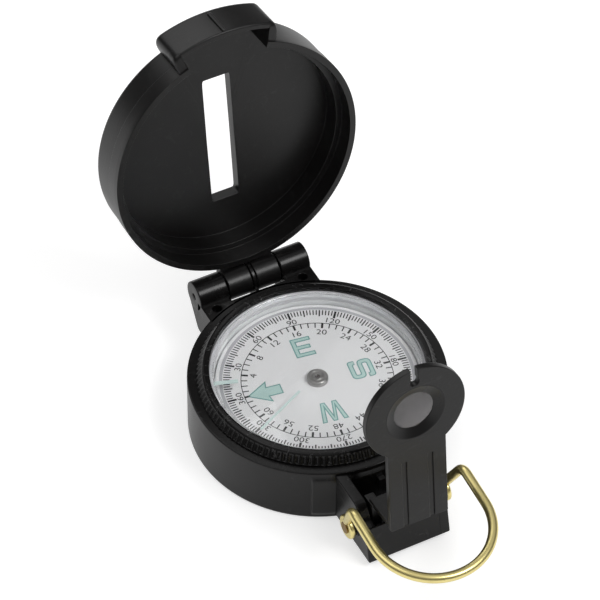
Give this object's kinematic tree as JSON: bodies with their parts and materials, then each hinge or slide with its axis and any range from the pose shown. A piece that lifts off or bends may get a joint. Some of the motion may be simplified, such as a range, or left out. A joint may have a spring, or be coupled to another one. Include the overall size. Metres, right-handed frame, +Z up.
{
  "type": "folding sighting compass",
  "caption": "Pocket sighting compass: round case with a floating dial under a turning bezel, hinged slotted cover, folding lens eyepiece and a wire thumb ring.",
  "frame": {"origin": "centre of the case's flat underside, on the dial's pivot axis", "axes": "+Z up along the dial's pivot axis, +Y towards the cover hinge, -Y towards the eyepiece and the thumb ring"},
  "size_m": [0.056, 0.1142, 0.0774],
  "materials": {
    "black_plastic": "satin moulded black",
    "white_plastic": "matte white",
    "dial_white": "matte printed",
    "clear_plastic": "clear polished",
    "luminous": "matte pale green",
    "brass": "polished",
    "steel": "satin",
    "magnet": "plain",
    "rubber": "matte",
    "jewel": "polished"
  },
  "bodies": {
    "base": {"case_body": "black_plastic", "capsule_cup": "white_plastic", "pivot_post": "brass", "pivot_needle": "steel", "detent_ring": "steel", "hinge_pin": "steel", "axle_pin": "steel"},
    "bezel": {"bezel_ring": "black_plastic", "crystal_gasket": "rubber", "crystal": "clear_plastic", "index_line_long": "luminous", "index_line_short": "luminous"},
    "dial": {"dial_card": "dial_white", "dial_magnet": "magnet", "hub_cap": "steel", "jewel_bearing": "jewel"},
    "cover": {"cover": "black_plastic"},
    "eyepiece": {"eyepiece_bracket": "black_plastic", "magnifier_lens": "clear_plastic", "lens_retainer": "black_plastic"},
    "plunger": {"lock_plunger": "black_plastic"},
    "ring": {"thumb_ring": "brass"}
  },
  "joints": [
    {"name": "cover_hinge", "type": "hinge", "parent": "base", "child": "cover", "pos_m": [0, 0.0318, 0.014], "axis": [1, 0, 0], "range_deg": [0, 97.5]},
    {"name": "eyepiece_fold", "type": "hinge", "parent": "base", "child": "eyepiece", "pos_m": [0, -0.0348, 0.0076], "axis": [-1, 0, 0], "range_deg": [0, 83]},
    {"name": "plunger_press", "type": "slide", "parent": "base", "child": "plunger", "axis": [0, 1, 0], "range_m": [0, 0.0009]},
    {"name": "ring_swing", "type": "hinge", "parent": "base", "child": "ring", "pos_m": [0, -0.0348, 0.0076], "axis": [1, 0, 0], "range_deg": [-40, 120]},
    {"name": "bezel_turn", "type": "hinge", "parent": "base", "child": "bezel", "pos_m": [0, 0, 0.0142], "axis": [0, 0, 1], "continuous": true},
    {"name": "dial_turn", "type": "hinge", "parent": "base", "child": "dial", "pos_m": [0, 0, 0.0121], "axis": [0, 0, 1], "continuous": true}
  ],
  "couplings": [
    {"joint": "eyepiece_fold", "follows": "cover_hinge", "ratio": 0.85128},
    {"joint": "plunger_press", "follows": "cover_hinge", "m_per_rad": 0.000528}
  ]
}
